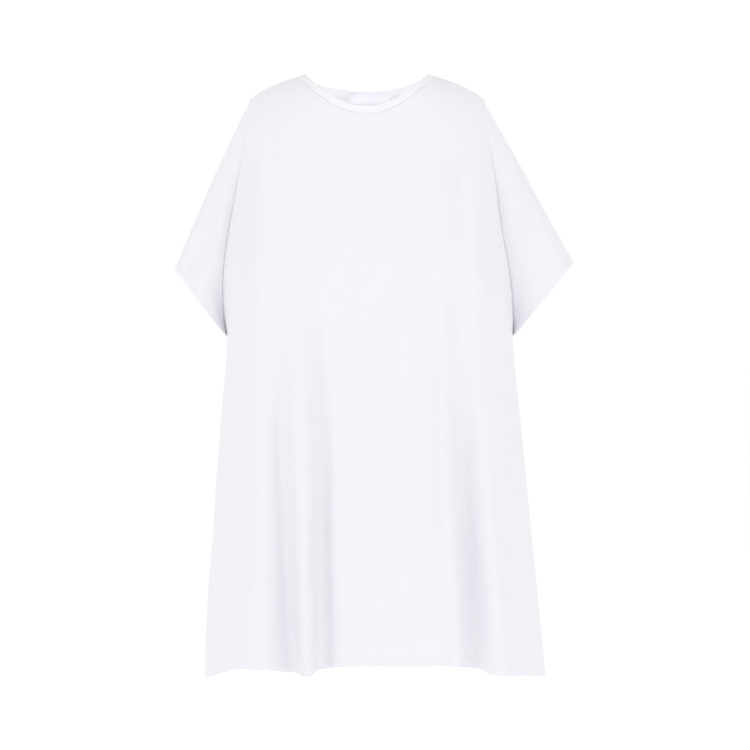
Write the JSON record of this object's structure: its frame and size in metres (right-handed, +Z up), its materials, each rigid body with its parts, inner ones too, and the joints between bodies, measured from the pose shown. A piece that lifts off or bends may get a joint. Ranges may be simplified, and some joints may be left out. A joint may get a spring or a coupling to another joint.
{
  "type": "dress",
  "caption": "Plain loose A-line dress with a wide round bound neck and wide short set-in sleeves, held open as when worn, with soft hanging folds.",
  "frame": {"origin": "midway between the two neck points, where a wearer's shoulders hold the dress", "axes": "+Z up, towards the wearer's head; -Y is the way the front faces; +X is on the right of someone who looks at the front"},
  "size_m": [0.6501, 0.3171, 0.9773],
  "materials": {
    "cloth": "matte, smooth and fine",
    "binding": "matte, smooth and fine",
    "label": "satin, woven, blank"
  },
  "bodies": {
    "root": {"front": "cloth", "back": "cloth", "sleeve_left": "cloth", "sleeve_right": "cloth", "neck_binding": "binding", "neck_label": "label"}
  },
  "joints": []
}
